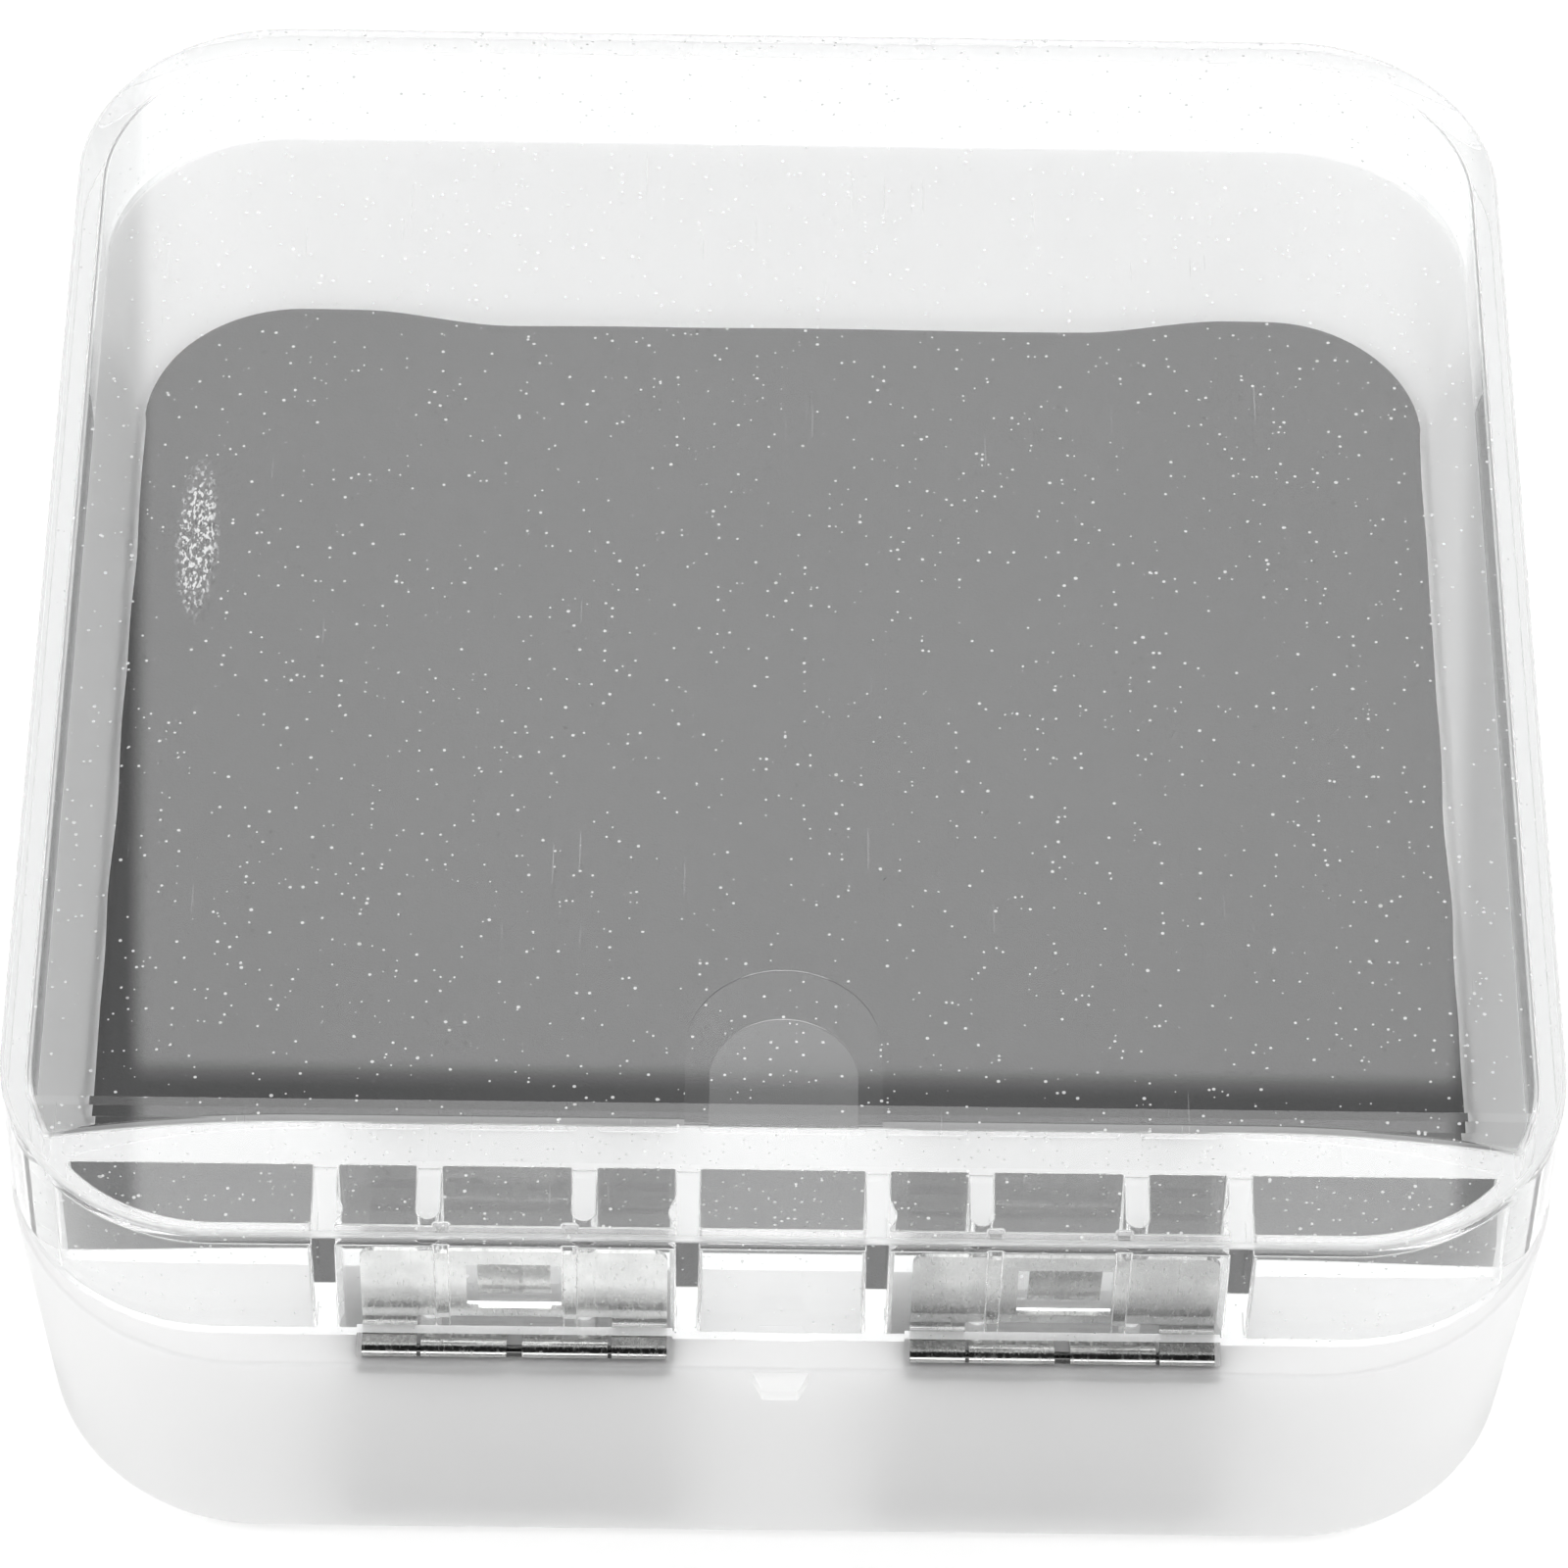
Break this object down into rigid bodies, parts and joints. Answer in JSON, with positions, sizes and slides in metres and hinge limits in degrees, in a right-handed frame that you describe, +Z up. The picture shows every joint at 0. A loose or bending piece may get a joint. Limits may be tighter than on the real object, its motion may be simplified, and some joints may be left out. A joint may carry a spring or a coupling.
{
  "type": "hinged storage case",
  "caption": "Shallow rounded-square case: a white tub lined with a dark foam pad, and a clear lid that opens on stamped metal box hinges.",
  "frame": {"origin": "centre of the outline of the tub at the height of its underside, on the resting plane", "axes": "+Z up, -Y towards the hinge side, +X to the right as seen from the hinge side"},
  "size_m": [0.1, 0.1098, 0.033],
  "materials": {
    "base_tub": "frosted white",
    "foam_pad": "fine closed-cell foam",
    "lid": "clear, polished",
    "hinge_leaf": "plain rolled",
    "hinge_pin": "drawn wire"
  },
  "bodies": {
    "tub": {"base_tub": "base_tub", "foam_pad": "foam_pad", "left_base_leaf": "hinge_leaf", "right_base_leaf": "hinge_leaf", "left_hinge_pin": "hinge_pin", "right_hinge_pin": "hinge_pin"},
    "lid": {"lid": "lid", "left_lid_leaf": "hinge_leaf", "right_lid_leaf": "hinge_leaf"}
  },
  "joints": [
    {"name": "lid_hinge", "type": "hinge", "parent": "tub", "child": "lid", "pos_m": [0, -0.05255, 0.02155], "axis": [1, 0, 0], "range_deg": [0, 96]}
  ]
}
